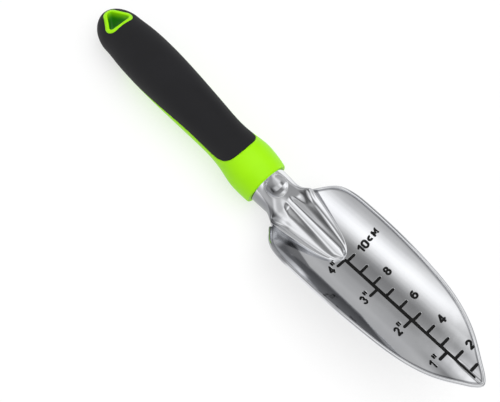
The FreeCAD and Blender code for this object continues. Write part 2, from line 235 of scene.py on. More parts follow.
def find_shift():
    """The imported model's place, from the scale's centre line. Its ends are known in the tool frame."""
    line_start, line_end, sink = -101.9, -6.0, -0.1
    low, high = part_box("scale_centre_line")
    x = low.x - (line_start * math.cos(PITCH) - sink * math.sin(PITCH)) * MM
    z = high.z - (line_end * math.sin(PITCH) + sink * math.cos(PITCH)) * MM
    return np.array([x, 0.0, z])


ROW_SHIFT = find_shift()


def make_object(name, shells, smooth_angle=40.0):
    """One object from shells of (tool-frame points, faces): doubles merged, normals out, edges smoothed."""
    vertices = []
    faces = []
    for points, quads in shells:
        base = len(vertices)
        vertices += to_row(points).reshape(-1, 3).tolist()
        faces += [tuple(base + index for index in face) for face in quads]
    return finish_mesh(name, vertices, faces, smooth_angle)


def finish_mesh(name, vertices, faces, smooth_angle):
    mesh = bpy.data.meshes.new(name)
    mesh.from_pydata(vertices, [], faces)
    work = bmesh.new()
    work.from_mesh(mesh)
    bmesh.ops.remove_doubles(work, verts=work.verts, dist=0.003 * MM)
    bmesh.ops.dissolve_degenerate(work, edges=work.edges, dist=0.002 * MM)
    bmesh.ops.recalc_face_normals(work, faces=work.faces)
    work.to_mesh(mesh)
    work.free()
    smooth(mesh, smooth_angle)
    piece = bpy.data.objects.new(name, mesh)
    bpy.context.scene.collection.objects.link(piece)
    return piece


def smooth(mesh, angle):
    for polygon in mesh.polygons:
        polygon.use_smooth = True
    mesh.set_sharp_from_angle(angle=math.radians(angle))


def cut(piece, cutter):
    """Cuts the cutter out of the piece, and deletes the cutter."""
    change = piece.modifiers.new("cut", "BOOLEAN")
    change.operation = "DIFFERENCE"
    change.solver = "MANIFOLD"
    change.object = cutter
    graph = bpy.context.evaluated_depsgraph_get()
    result = bpy.data.meshes.new_from_object(piece.evaluated_get(graph))
    piece.modifiers.clear()
    old = piece.data
    piece.data = result
    bpy.data.meshes.remove(old)
    bpy.data.objects.remove(cutter)


# ---- the head's blade ---------------------------------------------------------------------------

def scoop_height(y, radius=SCOOP_RADIUS):
    return SCOOP_RADIUS - np.sqrt(radius ** 2 - y ** 2)


def rim_half(count):
    """Points along half of the rim in plan, from the tip to the back corner."""
    both = [(x, -y) for x, y in reversed(RIM_LINE[1:])] + RIM_LINE
    knots = chord_knots(both)
    middle = knots[len(RIM_LINE) - 1]
    return natural(knots, both, np.linspace(middle, knots[-1], count))


def floor_height(x, y):
    """The scoop's inner surface, with the shallow crease that runs out to the tip."""
    start, full = CREASE_FROM
    crease = CREASE_DEPTH * np.exp(-(y / CREASE_WIDTH) ** 2) * smoothstep((x - start) / (full - start))
    return scoop_height(y) - crease


def blade_shell():
    rows, columns = 240, 97
    rim = rim_half(rows)
    across = np.linspace(-1, 1, columns)
    y = rim[:, 1:2] * across[None, :]
    x = np.repeat(rim[:, 0:1], columns, axis=1)
    inner = np.stack([x, y, floor_height(x, y)], axis=-1).reshape(-1, 3)
    outer = np.stack([x, y, scoop_height(y, SCOOP_RADIUS + BLADE_WALL)], axis=-1).reshape(-1, 3)
    faces = grid_faces(rows, columns) + grid_faces(rows, columns, rows * columns, flip=True)
    offset = rows * columns
    for i in range(rows - 1):
        for j in (0, columns - 1):
            a, b = i * columns + j, (i + 1) * columns + j
            faces.append((a, b, b + offset, a + offset))
    last = (rows - 1) * columns
    for j in range(columns - 1):
        faces.append((last + j, last + j + 1, last + j + 1 + offset, last + j + offset))
    return np.concatenate([inner, outer]), faces


def bead_shell():
    half = rim_half(260)
    line = np.concatenate([half[::-1] * (1, -1), half[1:]])
    points = np.column_stack([line, scoop_height(line[:, 1], SCOOP_RADIUS + BEAD_LAYER)])
    along = np.gradient(points, axis=0)
    along /= np.linalg.norm(along, axis=1)[:, None]
    aside = np.cross(along, (0, 0, 1))
    aside /= np.linalg.norm(aside, axis=1)[:, None]
    upward = np.cross(aside, along)
    turns = np.linspace(0, 2 * math.pi, 20, endpoint=False)
    ring = (aside[:, None] * np.cos(turns)[None, :, None] + upward[:, None] * np.sin(turns)[None, :, None])
    tube = points[:, None] + ring * BEAD_RADIUS
    count = len(turns)
    faces = grid_faces(len(points), count, closed=True)
    faces.append(tuple(range(count)))
    faces.append(tuple(range((len(points) - 1) * count, len(points) * count)))
    return tube.reshape(-1, 3), faces


def flared_cutter(node):
    """The cutter for one painted node's groove: the paint's solid, its top widened and raised clear."""
    up = np.array([-math.sin(PITCH), 0.0, math.cos(PITCH)])
    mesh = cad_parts[node].data.copy()
    work = bmesh.new()
    work.from_mesh(mesh)
    bmesh.ops.remove_doubles(work, verts=work.verts, dist=0.001 * MM)
    bmesh.ops.recalc_face_normals(work, faces=work.faces)
    moves = {}
    for vertex in work.verts:
        tops = [face for face in vertex.link_faces if np.dot(face.normal, up) > 0.7]
        if not tops:
            continue
        sides = [face.normal for face in vertex.link_faces if abs(np.dot(face.normal, up)) < 0.5]
        outward = sum(sides, Vector())
        if outward.length > 0.001:
            outward.normalize()
        moves[vertex] = outward * GROOVE_FLARE * MM + Vector(up) * GROOVE_RISE * MM
    for vertex, move in moves.items():
        vertex.co += move
    work.to_mesh(mesh)
    work.free()
    cutter = bpy.data.objects.new("cutter_" + node, mesh)
    bpy.context.scene.collection.objects.link(cutter)
    return cutter


def true_normals(mesh):
    """Gives the scoop's inner surface its exact normals, so that cuts leave its reflections smooth."""
    x, y, z = tool_places(mesh).T
    step = 0.01
    slope_x = (floor_height(x + step, y) - floor_height(x - step, y)) / (2 * step)
    slope_y = (floor_height(x, y + step) - floor_height(x, y - step)) / (2 * step)
    exact = np.column_stack([-slope_x, -slope_y, np.ones_like(x)]) @ TOOL_TURN.T
    exact /= np.linalg.norm(exact, axis=1)[:, None]
    on_floor = np.abs(z - floor_height(x, y)) < 0.03
    normals = np.zeros((len(mesh.loops), 3))
    for polygon in mesh.polygons:
        corners = list(polygon.vertices)
        if on_floor[corners].all() and np.dot(exact[corners[0]], polygon.normal) > 0.9:
            normals[list(polygon.loop_indices)] = exact[corners]
    mesh.normals_split_custom_set(normals.tolist())


def mark_walls(mesh):
    """Marks the blade's painted darkness: a dark reflection on the near wall's foot, a shadow inside the
    bead.
    """
    rim = rim_half(400)
    x, y, _ = tool_places(mesh).T
    wide = np.interp(-x, -rim[:, 0], rim[:, 1])
    slope = np.interp(-x, -rim[:, 0], np.abs(np.gradient(rim[:, 1], rim[:, 0])))
    to_rim = (wide - np.abs(y)) / np.sqrt(1 + np.minimum(slope, 20) ** 2)
    start = np.interp(x, *np.array(PAINTED_SHADE_START).T)
    foot = smoothstep((-y - start) / 1.2 + 0.5)
    foot *= 1 - smoothstep((-y - 24.6) / 1.4 + 0.5) * smoothstep((-103.0 - x) / 8.0)
    foot *= smoothstep((x + 135.0) / 5.0)
    # Painted shade: the foot's dark reflection, and the shadow along the line inside the bead.
    painted_shade = np.maximum(foot, 0.85 * smoothstep((1.9 - to_rim) / 0.5))
    mesh.attributes.new("painted_shade", "FLOAT", "POINT").data.foreach_set("value", painted_shade.astype(np.float32))


def mark_neck(mesh):
    """Marks the neck's painted dark reflections: its two flanks, the near one more so, a spot in the thumb
    dish and a near corner.
    """
    x, y, _ = tool_places(mesh).T
    stations = np.array(NECK_STATIONS)
    wide = natural(stations[:, 0], stations[:, 2:3], np.clip(x, stations[0, 0], -130.0))[:, 0]
    flank = smoothstep((np.abs(y) / wide - 0.74) / 0.16) * smoothstep((-141.0 - x) / 5.0)
    flank *= np.where(y < 0, 0.95, 0.5)
    reflection_x, reflection_y, reflection_size = DISH_REFLECTION
    dish_reflection = np.exp(-(((x - reflection_x) ** 2 + (y - reflection_y) ** 2) / reflection_size ** 2) ** 1.5)
    corner = 0.7 * smoothstep((-116.0 - x) / 6.0) * smoothstep((-20.0 - y) / 4.0)
    # Painted dark reflections on the flanks, in the dish and at the near corner.
    painted_shade = np.maximum(np.maximum(flank, dish_reflection), corner)
    mesh.attributes.new("painted_shade", "FLOAT", "POINT").data.foreach_set("value", painted_shade.astype(np.float32))


# ---- the head's neck and tongue -----------------------------------------------------------------

def tongue_top(x, y, half_width):
    """The tongue's ribbed upper surface."""
    along = (TONGUE_TIP - x) / (TONGUE_TIP - TONGUE_BACK)
    reach = np.clip(along, 0, 1)
    edge = scoop_height(half_width) + TONGUE_LIP[0] + (TONGUE_LIP[1] - TONGUE_LIP[0]) * reach
    crest = RIB_CREST[0] + (RIB_CREST[1] - RIB_CREST[0]) * along
    rib_width = np.minimum(RIB_HALF_WIDTH, RIB_SHARE * half_width)
    across = np.abs(y) / half_width
    rib = np.exp(-np.abs(y / rib_width) ** RIB_POWER)
    valley = VALLEY_DEPTH * reach * np.sin(math.pi * across ** VALLEY_LEAN) ** 2
    return edge - valley + (crest - edge) * rib


def neck_shell():
    """Neck and tongue as one sweep: round at the collar, and flattening into the ribbed tongue."""
    x = np.concatenate([np.linspace(-172, -162, 12)[:-1], np.linspace(-162, -140, 90)[:-1],
                        np.linspace(-140, -106, 80)[:-1], TONGUE_TIP - 3.1 * np.linspace(1, 0.02, 30) ** 2])
    stations = np.array(NECK_STATIONS)
    middle, wide, above, below = natural(stations[:, 0], stations[:, 1:], x).T[:, :, None]
    x = x[:, None]
    along = np.clip((TONGUE_TIP - x) / (TONGUE_TIP - TONGUE_BACK), 1e-4, None)
    tongue_wide = TONGUE_HALF_WIDTH * np.minimum(along, 1) ** TONGUE_TIP_POWER
    spread = smoothstep((x - SHOULDER[0]) / (SHOULDER[1] - SHOULDER[0]))
    half_width = wide + (tongue_wide - wide) * spread
    side = np.sin(np.linspace(-math.pi / 2, math.pi / 2, 97))[None, :]
    blend_end = SHOULDER[1] + SHOULDER_LAG * 4 * side ** 2 * (1 - side ** 2)
    flat = smoothstep((x - SHOULDER[0]) / (blend_end - SHOULDER[0]))
    y = half_width * side
    curve = np.sqrt(np.clip(1 - side ** 2, 0, 1))
    top = middle + above * curve
    top = top + (tongue_top(x, y, half_width) - top) * flat
    dish_x, dish_z, dish_radius = THUMB_DISH
    inside = dish_radius ** 2 - (x - dish_x) ** 2 - y ** 2
    dish = np.where(inside > 0, dish_z - np.sqrt(np.clip(inside, 0, None)), dish_z)
    top = np.where(inside > 0, soft_min(top, dish, 0.5), top)
    round_under = middle - below * np.sqrt(np.clip(1 - np.clip(y / wide, -1, 1) ** 2, 0, 1))
    in_sheet = scoop_height(y, SCOOP_RADIUS + BLADE_WALL / 2)
    flat_under = soft_min(np.where(np.abs(y) < wide, round_under, in_sheet), in_sheet, 0.8)
    under = (middle - below * curve) * (1 - flat) + flat_under * flat
    wall = np.linspace(0, 1, 7)[None, 1:-1]
    left = top[:, :1] + (under[:, :1] - top[:, :1]) * wall
    right = under[:, -1:] + (top[:, -1:] - under[:, -1:]) * wall
    z = np.concatenate([top[:, ::-1], left, under, right], axis=1)
    y = np.concatenate([y[:, ::-1], np.repeat(y[:, :1], wall.shape[1], 1), y,
                        np.repeat(y[:, -1:], wall.shape[1], 1)], axis=1)
    rows, columns = y.shape
    points = np.stack([np.repeat(x, columns, 1), y, z], axis=-1).reshape(-1, 3)
    faces = grid_faces(rows, columns, closed=True)
    faces.append(tuple(range(columns)))
    faces.append(tuple(range((rows - 1) * columns, rows * columns)))
    return points, faces


def tang_shell():
    """The hidden bar that the core is moulded round."""
    points = []
    for (width, height), along in ((TANG_ROOT, 0.0), (TANG_END, TANG_LENGTH)):
        x = TANG_START[0] - along * math.cos(TANG_PITCH)
        z = TANG_START[1] + along * math.sin(TANG_PITCH)
        points += [(x, side * width / 2, z + lift * height / 2) for side, lift in
                   ((-1, -1), (1, -1), (1, 1), (-1, 1))]
    faces = grid_faces(2, 4, closed=True) + [(0, 1, 2, 3), (4, 5, 6, 7)]
    return np.array(points), faces


def make_head():
    blade = make_object("cast_blade", [blade_shell()])
    for node in PAINT_NODES:
        cut(blade, flared_cutter(node))
    smooth(blade.data, 25.0)
    true_normals(blade.data)
    mark_walls(blade.data)
    rest = make_object("cast_neck", [neck_shell(), bead_shell(), tang_shell()], 50.0)
    mark_neck(rest.data)
    return blade, rest


# ---- the handle's form --------------------------------------------------------------------------

def handle_rings():
    """The handle's sections from the collar to the end of the butt, and where they lie along it."""
    rings = list(HANDLE_STATIONS)
    start_x, start_z, wide, above, below = BUTT_START
    for turn in np.linspace(0, math.pi / 2, BUTT_STEPS):
        along, fall = math.sin(turn), max(math.cos(turn), 1e-6)
        rings.append((start_x + (BUTT_END[0] - start_x) * along, start_z + (BUTT_END[1] - start_z) * along,
                      wide * fall ** 0.9, above * fall ** 0.7, below * fall ** 0.7))
    rings = np.array(rings)
    return rings, chord_knots(rings)


RINGS, RING_KNOTS = handle_rings()
HANDLE_LENGTH = RING_KNOTS[-1]


def section_point(s, phi):
    """The handle's surface at s along it and phi round it, where phi = 0 is the top."""
    x, middle, wide, above, below = np.moveaxis(natural(RING_KNOTS, RINGS, s), -1, 0)
    side, rise = np.sin(phi), np.cos(phi)
    power = np.where(rise >= 0, 1.0, 2 / UNDERSIDE_POWER)
    y = np.clip(wide, 0, None) * np.sign(side) * np.abs(side) ** power
    return np.stack([x, y, middle + rise * np.clip(np.where(rise >= 0, above, below), 0, None)], axis=-1)


def handle_surface(s, phi, lift):
    """Surface points moved out along the surface's normal by lift."""
    s, phi = np.broadcast_arrays(s, phi)
    points = section_point(s, phi)
    step = np.where(s > HANDLE_LENGTH - 0.5, -0.05, 0.05)
    along = (section_point(s + step, phi) - points) / step[..., None]
    round_it = section_point(s, phi + 0.02) - section_point(s, phi - 0.02)
    normal = np.cross(along, round_it)
    size = np.linalg.norm(normal, axis=-1, keepdims=True)
    normal = np.where(size > 1e-4, normal / np.maximum(size, 1e-9), (-1.0, 0.0, 0.0))
    outward = np.sign(np.sum(normal * (points - middle_of(s)), axis=-1, keepdims=True))
    outward = np.where(size > 1e-4, np.where(outward == 0, 1, outward), 1)
    return points + normal * outward * np.asarray(lift)[..., None]


def middle_of(s):
    x, middle = np.moveaxis(natural(RING_KNOTS, RINGS, s), -1, 0)[:2]
    return np.stack([x, np.zeros_like(x), middle], axis=-1)


def grip_line():
    """The grip's edge seen from the side: finely spaced x, and the edge's height at each."""
    knots = chord_knots(GRIP_EDGE)
    line = natural(knots, GRIP_EDGE, np.linspace(0, knots[-1], 1500))
    return line[::-1].T


GRIP_LINE = grip_line()


def edge_angle(s):
    """How far round from the top the grip reaches at s: 0 in front of its nose, pi behind the spine."""
    x, middle, _, above, below = np.moveaxis(natural(RING_KNOTS, RINGS, s), -1, 0)
    height = np.interp(x, *GRIP_LINE) - middle
    share = np.where(height >= 0, height / np.maximum(above, 1e-6), height / np.maximum(below, 1e-6))
    angle = np.arccos(np.clip(share, -1, 1))
    return np.where(x < GRIP_LINE[0][0], math.pi, angle)


def grip_ends():
    """Where along the handle the grip's nose and the spine's end lie."""
    s = np.linspace(0, HANDLE_LENGTH, 4000)
    angle = edge_angle(s)
    nose = s[np.argmax(angle > 0.0)]
    spine = s[np.argmax(angle > math.pi - 1e-6)]
    return nose, spine


NOSE, SPINE = grip_ends()


def edge_line():
    """Points along the grip's edge, both sides."""
    s = np.concatenate([NOSE + 4 * np.linspace(0, 1, 60) ** 2, np.linspace(NOSE + 4, SPINE - 4, 240),
                        SPINE - 4 * np.linspace(1, 0, 60) ** 2])
    angle = edge_angle(s)
    return np.concatenate([section_point(s, angle), section_point(s, -angle)])


def edge_distance(points):
    """Distance of each point from the grip's edge."""
    line = edge_line()
    flat = points.reshape(-1, 3)
    nearest = np.empty(len(flat))
    for start in range(0, len(flat), 4000):
        part = flat[start:start + 4000]
        nearest[start:start + 4000] = np.linalg.norm(part[:, None] - line[None], axis=-1).min(axis=1)
    return nearest.reshape(points.shape[:-1])


# ---- the grip -----------------------------------------------------------------------------------

def grip_shell():
    s = np.concatenate([
        NOSE + 5 * np.linspace(0, 1, 24)[:-1] ** 2, np.linspace(NOSE + 5, SPINE - 4, 110)[:-1],
        SPINE - 4 * np.linspace(1, 0, 10)[:-1] ** 2, np.linspace(SPINE, HANDLE_LENGTH, 50)])[:, None]
    columns = 121
    reach = np.where(s >= SPINE, math.pi, edge_angle(s))
    spread = np.linspace(-1, 1, columns)[None, :]
    spread = np.sign(spread) * (1 - (1 - np.abs(spread)) ** 1.5)
    phi = reach * spread
    distance = edge_distance(section_point(*np.broadcast_arrays(s, phi)))
    short = np.clip(GRIP_ROUND - distance, 0, GRIP_ROUND)
    lift = np.sqrt(GRIP_ROUND ** 2 - short ** 2) - GRIP_ROUND
    outer = handle_surface(s, phi, lift).reshape(-1, 3)
    inner = handle_surface(s, phi, np.full_like(phi, -GRIP_WALL)).reshape(-1, 3)
    rows = len(s)
    offset = rows * columns
    faces = grid_faces(rows, columns) + grid_faces(rows, columns, offset, flip=True)
    for i in range(int(np.argmax(s[:, 0] >= SPINE))):
        for j in (0, columns - 1):
            a, b = i * columns + j, (i + 1) * columns + j
            faces.append((a, b, b + offset, a + offset))
    faces += [(j, j + 1, j + 1 + offset, j + offset) for j in range(columns - 1)]
    return np.concatenate([outer, inner]), faces


# ---- the core -----------------------------------------------------------------------------------

def lip_place(phi):
    """Where along the handle the collar's leaning lip lies, for each angle round it."""
    s = np.zeros_like(phi)
    for _ in range(12):
        place = section_point(s, phi)
        goal = COLLAR_LIP[0] + math.tan(COLLAR_LEAN) * (place[..., 2] - COLLAR_LIP[1])
        s = s + (place[..., 0] - goal)
    return s


def core_lift(s, phi):
    """How far the core's surface drops under the grip."""
    s, phi = np.broadcast_arrays(s, phi)
    distance = edge_distance(section_point(s, phi))
    inside = np.abs(phi) < np.where(s >= SPINE, math.pi + 1, edge_angle(s))
    distance = np.where(inside, distance, -distance)
    return -CORE_SINK * smoothstep(distance + 0.5)


def core_shell():
    columns = 200
    phi = np.linspace(-math.pi, math.pi, columns, endpoint=False)[None, :]
    lip = lip_place(phi)
    straight = 24.0
    near = LIP_ROUND * (1 - np.cos(np.linspace(0, math.pi / 2, 9)))
    steps = np.concatenate([near, np.linspace(LIP_ROUND, straight, 44)[1:]])[:, None]
    lead = lip + steps * (straight - lip) / straight
    back = np.linspace(straight, HANDLE_LENGTH, 250)[1:, None] + 0 * phi
    s = np.concatenate([lead, back])
    lift = core_lift(s, phi)
    short = np.clip(LIP_ROUND - steps, 0, LIP_ROUND)
    lift[:len(steps)] += np.sqrt(LIP_ROUND ** 2 - short ** 2) - LIP_ROUND
    body = handle_surface(s, phi + 0 * s, lift)
    stations = np.array(NECK_STATIONS)
    first = body[0]
    _, wide, above, below = natural(stations[:, 0], stations[:, 1:], first[:, 0]).T
    middle = natural(stations[:, 0], stations[:, 1:2], first[:, 0])[:, 0]
    rise = np.cos(phi[0])
    mouth = np.column_stack([first[:, 0], (wide + NECK_CLEARANCE) * np.sin(phi[0]),
                             middle + rise * (np.where(rise >= 0, above, below) + NECK_CLEARANCE)])
    mouth[:, 0] = COLLAR_LIP[0] + math.tan(COLLAR_LEAN) * (mouth[:, 2] - COLLAR_LIP[1])
    deep = mouth - (LIP_RECESS, 0, 0)
    centre = np.repeat(deep.mean(axis=0)[None], columns, axis=0)
    inside = [centre, deep, mouth + (-0.35, 0, 0), mouth + (first - mouth) * 0.25]
    points = np.concatenate([np.array(inside), body])
    faces = grid_faces(len(points), columns, closed=True)
    return points.reshape(-1, 3), faces


def hang_outline(shrink, count=24):
    """Points round the hang hole's corner circles, each made smaller by shrink, in row millimetres."""
    end = cad_box[0][0] / MM
    circles = [(np.array([end + x, y]), radius - shrink) for x, y, radius in HANG_CORNERS]
    middle = sum(centre for centre, _ in circles) / 3
    points = []
    for i in range(3):
        (before, before_r), (here, here_r), (after, after_r) = (circles[(i + k) % 3] for k in (-1, 0, 1))
        angles = []
        for other, other_r in ((before, before_r), (after, after_r)):
            gap = other - here
            along = gap / np.linalg.norm(gap)
            outward = np.array([along[1], -along[0]])
            if np.dot(outward, here + gap / 2 - middle) < 0:
                outward = -outward
            lean = (here_r - other_r) / np.linalg.norm(gap)
            normal = along * lean + outward * math.sqrt(1 - lean ** 2)
            angles.append(math.atan2(normal[1], normal[0]))
        turn = (angles[1] - angles[0] + math.pi) % (2 * math.pi) - math.pi
        for k in range(count):
            angle = angles[0] + turn * k / (count - 1)
            points.append(here + here_r * np.array([math.cos(angle), math.sin(angle)]))
    return np.array(points)


def upright_prism(name, outline):
    """A prism through the handle over an outline in row millimetres."""
    count = len(outline)
    low, high = -5.0, 60.0
    vertices = [(x * MM, y * MM, z * MM) for z in (low, high) for x, y in outline]
    faces = [(i, (i + 1) % count, count + (i + 1) % count, count + i) for i in range(count)]
    faces += [tuple(range(count)), tuple(range(count, 2 * count))]
    return finish_mesh(name, vertices, faces, 40.0)


def skin_height(tree, x, y, side):
    """The height in metres of the butt's skin at x, y: its top where side is 1, its underside at -1."""
    return tree.ray_cast(Vector((x, y, side * 0.1)), Vector((0, 0, -side)))[0].z


def rim_ring(tree, shrink, side, lift):
    """One ring of the rim, lifted off the butt's skin. The side is 1 above the butt and -1 below it."""
    ring = []
    for x, y in hang_outline(shrink):
        ring.append((x * MM, y * MM, skin_height(tree, x * MM, y * MM, side) + lift * MM))
    return ring


def mark_depth(mesh, tree):
    """Marks how deep each point of the rim lies in the hole, 0 on the lips and 1 well inside, for the
    lime's painted shade.
    """
    depths = []
    for vertex in mesh.vertices:
        x, y, z = vertex.co
        above = skin_height(tree, x, y, 1)
        below = skin_height(tree, x, y, -1)
        depths.append(smoothstep(((above - z) / MM - 1.5) / 6.0) * smoothstep((z - below) / MM / 2.0))
    mesh.attributes.new("depth", "FLOAT", "POINT").data.foreach_set("value", np.array(depths, np.float32))


def hang_rim(body):
    """The raised rim of the hang hole: a sleeve through the butt with rounded lips above and below."""
    work = bmesh.new()
    work.from_mesh(body.data)
    tree = BVHTree.FromBMesh(work)
    work.free()
    shares = np.linspace(0, 1, 13)
    swells = np.sqrt(np.clip(1 - (2 * shares - 1) ** 2, 0, 1))
    over, under = [], []
    for share, swell in zip(shares, swells):
        rise = swell * (HANG_RIM_PROUD + HANG_LIP_SINK) - HANG_LIP_SINK
        over.append(rim_ring(tree, share * HANG_RIM_WALL, 1, rise))
        drop = HANG_LIP_SINK - swell * HANG_LIP_SINK
        under.append(rim_ring(tree, share * (HANG_RIM_WALL + HANG_DRAFT), -1, drop))
    wall = []
    for share in np.linspace(0, 1, 16)[1:-1]:
        outline = hang_outline(HANG_RIM_WALL + HANG_DRAFT * share)
        heights = [high[2] + (low[2] - high[2]) * share for high, low in zip(over[-1], under[-1])]
        wall.append([(x * MM, y * MM, z) for (x, y), z in zip(outline, heights)])
    rings = over + wall + under[::-1]
    count = len(rings[0])
    vertices = [point for ring in rings for point in ring]
    faces = grid_faces(len(rings), count, closed=True)
    last = len(vertices) - count
    for j in range(count):
        k = (j + 1) % count
        faces.append((last + j, last + k, k, j))
    rim = finish_mesh("hang_hole_rim", vertices, faces, 50.0)
    mark_depth(rim.data, tree)
    return rim


def make_handle():
    core = make_object("plastic_core", [core_shell()], 45.0)
    s = np.linspace(0, HANDLE_LENGTH, 200)[:, None]
    phi = np.linspace(-math.pi, math.pi, 160, endpoint=False)[None, :]
    whole = section_point(*np.broadcast_arrays(s, phi))
    gauge = make_object("gauge", [(whole.reshape(-1, 3), grid_faces(200, 160, closed=True))])
    rim = hang_rim(gauge)
    bpy.data.objects.remove(gauge)
    cut(core, upright_prism("cutter_core", hang_outline(HANG_RIM_WALL - 0.4)))
    grip = make_object("rubber_grip", [grip_shell()], 45.0)
    cut(grip, upright_prism("cutter_grip", hang_outline(0.25)))
    smooth(core.data, 45.0)
    smooth(grip.data, 45.0)
    return core, grip, rim


# ---- materials ----------------------------------------------------------------------------------

class Paintbox:
    """A node material with short calls for the nodes it is made of."""

    def __init__(self, name):
        self.material = bpy.data.materials.new(name)
        self.material.use_nodes = True
        self.tree = self.material.node_tree
        self.shader = self.tree.nodes["Principled BSDF"]
        self.place = self.tree.nodes.new("ShaderNodeTexCoord").outputs["Object"]

    def set(self, **values):
        for name, value in values.items():
            self.shader.inputs[name.replace("_", " ")].default_value = value

    def link(self, output, target):
        self.tree.links.new(output, self.shader.inputs[target])

    def stretch(self, scale):
        node = self.tree.nodes.new("ShaderNodeMapping")
        node.inputs["Scale"].default_value = scale
        self.tree.links.new(self.place, node.inputs["Vector"])
        return node.outputs["Vector"]

    def noise(self, scale, detail=3.0, rough=0.5, vector=None):
        node = self.tree.nodes.new("ShaderNodeTexNoise")
        node.inputs["Scale"].default_value = scale
        node.inputs["Detail"].default_value = detail
        node.inputs["Roughness"].default_value = rough
        self.tree.links.new(vector or self.place, node.inputs["Vector"])
        return node.outputs["Fac"]

    def ramp(self, source, stops):
        node = self.tree.nodes.new("ShaderNodeValToRGB")
        ramp = node.color_ramp
        ramp.elements[0].position, ramp.elements[0].color = stops[0]
        ramp.elements[1].position, ramp.elements[1].color = stops[-1]
        for position, color in stops[1:-1]:
            ramp.elements.new(position).color = color
        self.tree.links.new(source, node.inputs["Fac"])
        return node.outputs["Color"]

    def attribute(self, name):
        node = self.tree.nodes.new("ShaderNodeAttribute")
        node.attribute_name = name
        return node.outputs["Fac"]

    def mix(self, share, first, second):
        node = self.tree.nodes.new("ShaderNodeMix")
        node.data_type = "RGBA"
        self.tree.links.new(share, node.inputs["Factor"])
        self.tree.links.new(first, node.inputs[6])
        self.tree.links.new(second, node.inputs[7])
        return node.outputs[2]

    def range(self, source, low, high):
        node = self.tree.nodes.new("ShaderNodeMapRange")
        node.inputs["From Min"].default_value = 0.3
        node.inputs["From Max"].default_value = 0.7
        node.inputs["To Min"].default_value = low
        node.inputs["To Max"].default_value = high
        self.tree.links.new(source, node.inputs["Value"])
        return node.outputs["Result"]

    def bump(self, height, strength, distance, under=None):
        node = self.tree.nodes.new("ShaderNodeBump")
        node.inputs["Strength"].default_value = strength
        node.inputs["Distance"].default_value = distance
        self.tree.links.new(height, node.inputs["Height"])
        if under:
            self.tree.links.new(under, node.inputs["Normal"])
        return node.outputs["Normal"]


def grey(value, alpha=1.0):
    return (value, value, value, alpha)


def polished_aluminium():
    box = Paintbox("polished_aluminium")
    box.set(Metallic=1.0)
    clouds = box.noise(38.0, 3.0)
    lines = box.noise(900.0, 2.0, 0.6, box.stretch((0.06, 1.0, 1.0)))
    clean = box.ramp(clouds, [(0.3, (0.80, 0.81, 0.84, 1)), (0.7, (0.87, 0.88, 0.90, 1))])
    # The darker colour is painted shade: dark reflections and shadow, laid where the mesh marks it.
    painted_shade = box.ramp(clouds, [(0.3, (0.24, 0.245, 0.26, 1)), (0.7, (0.31, 0.315, 0.33, 1))])
    box.link(box.mix(box.attribute("painted_shade"), clean, painted_shade), "Base Color")
    box.link(box.range(clouds, 0.075, 0.13), "Roughness")
    casting = box.bump(box.noise(70.0, 2.0), 0.10, 0.0006)
    box.link(box.bump(lines, 0.03, 0.0001, casting), "Normal")
    return box.material


def lime_plastic():
    box = Paintbox("lime_plastic")
    box.set(IOR=1.49, Specular_IOR_Level=0.22)
    clouds = box.noise(45.0, 3.0)
    grain = box.noise(2600.0, 2.0, 0.6)
    open_air = box.ramp(clouds, [(0.3, (0.35, 0.83, 0.001, 1)), (0.7, (0.38, 0.87, 0.002, 1))])
    # Deep in the hang hole the lime is painted dark green as shade.
    deep = box.ramp(clouds, [(0.3, (0.04, 0.40, 0.003, 1)), (0.7, (0.05, 0.46, 0.004, 1))])
    box.link(box.mix(box.attribute("depth"), open_air, deep), "Base Color")
    box.link(box.range(clouds, 0.40, 0.50), "Roughness")
    box.link(box.bump(grain, 0.12, 0.0001), "Normal")
    return box.material


def charcoal_rubber():
    box = Paintbox("charcoal_rubber")
    box.set(IOR=1.5, Specular_IOR_Level=0.35)
    clouds = box.noise(60.0, 3.0)
    grain = box.noise(1900.0, 3.0, 0.65)
    charcoal = box.ramp(clouds, [(0.3, (0.0085, 0.0085, 0.010, 1)), (0.7, (0.013, 0.013, 0.015, 1))])
    box.link(charcoal, "Base Color")
    box.link(box.range(clouds, 0.68, 0.80), "Roughness")
    box.link(box.bump(grain, 0.25, 0.00015), "Normal")
    return box.material


def scale_paint():
    box = Paintbox("scale_paint")
    box.set(IOR=1.5, Specular_IOR_Level=0.25)
    clouds = box.noise(300.0, 3.0)
    box.link(box.ramp(clouds, [(0.3, grey(0.002)), (0.7, grey(0.006))]), "Base Color")
    box.link(box.range(clouds, 0.35, 0.5), "Roughness")
    box.link(box.bump(box.noise(1500.0, 2.0), 0.2, 0.0001), "Normal")
    return box.material


def pale_floor():
    box = Paintbox("pale_floor")
    clouds = box.noise(4.0, 2.0)
    box.link(box.ramp(clouds, [(0.3, grey(0.37)), (0.7, grey(0.39))]), "Base Color")
    box.link(box.range(clouds, 0.7, 0.8), "Roughness")
    box.set(Emission_Color=grey(1.0), Emission_Strength=0.6)
    return box.material


# ---- stage, light and camera --------------------------------------------------------------------

def make_floor(material):
    mesh = bpy.data.meshes.new("floor")
    size = 60.0
    corners = [(-size, -size, 0), (size, -size, 0), (size, size, 0), (-size, size, 0)]
    mesh.from_pydata(corners, [], [(0, 1, 2, 3)])
    mesh.materials.append(material)
    floor = bpy.data.objects.new("floor", mesh)
    floor.location.z = -0.0002
    bpy.context.scene.collection.objects.link(floor)


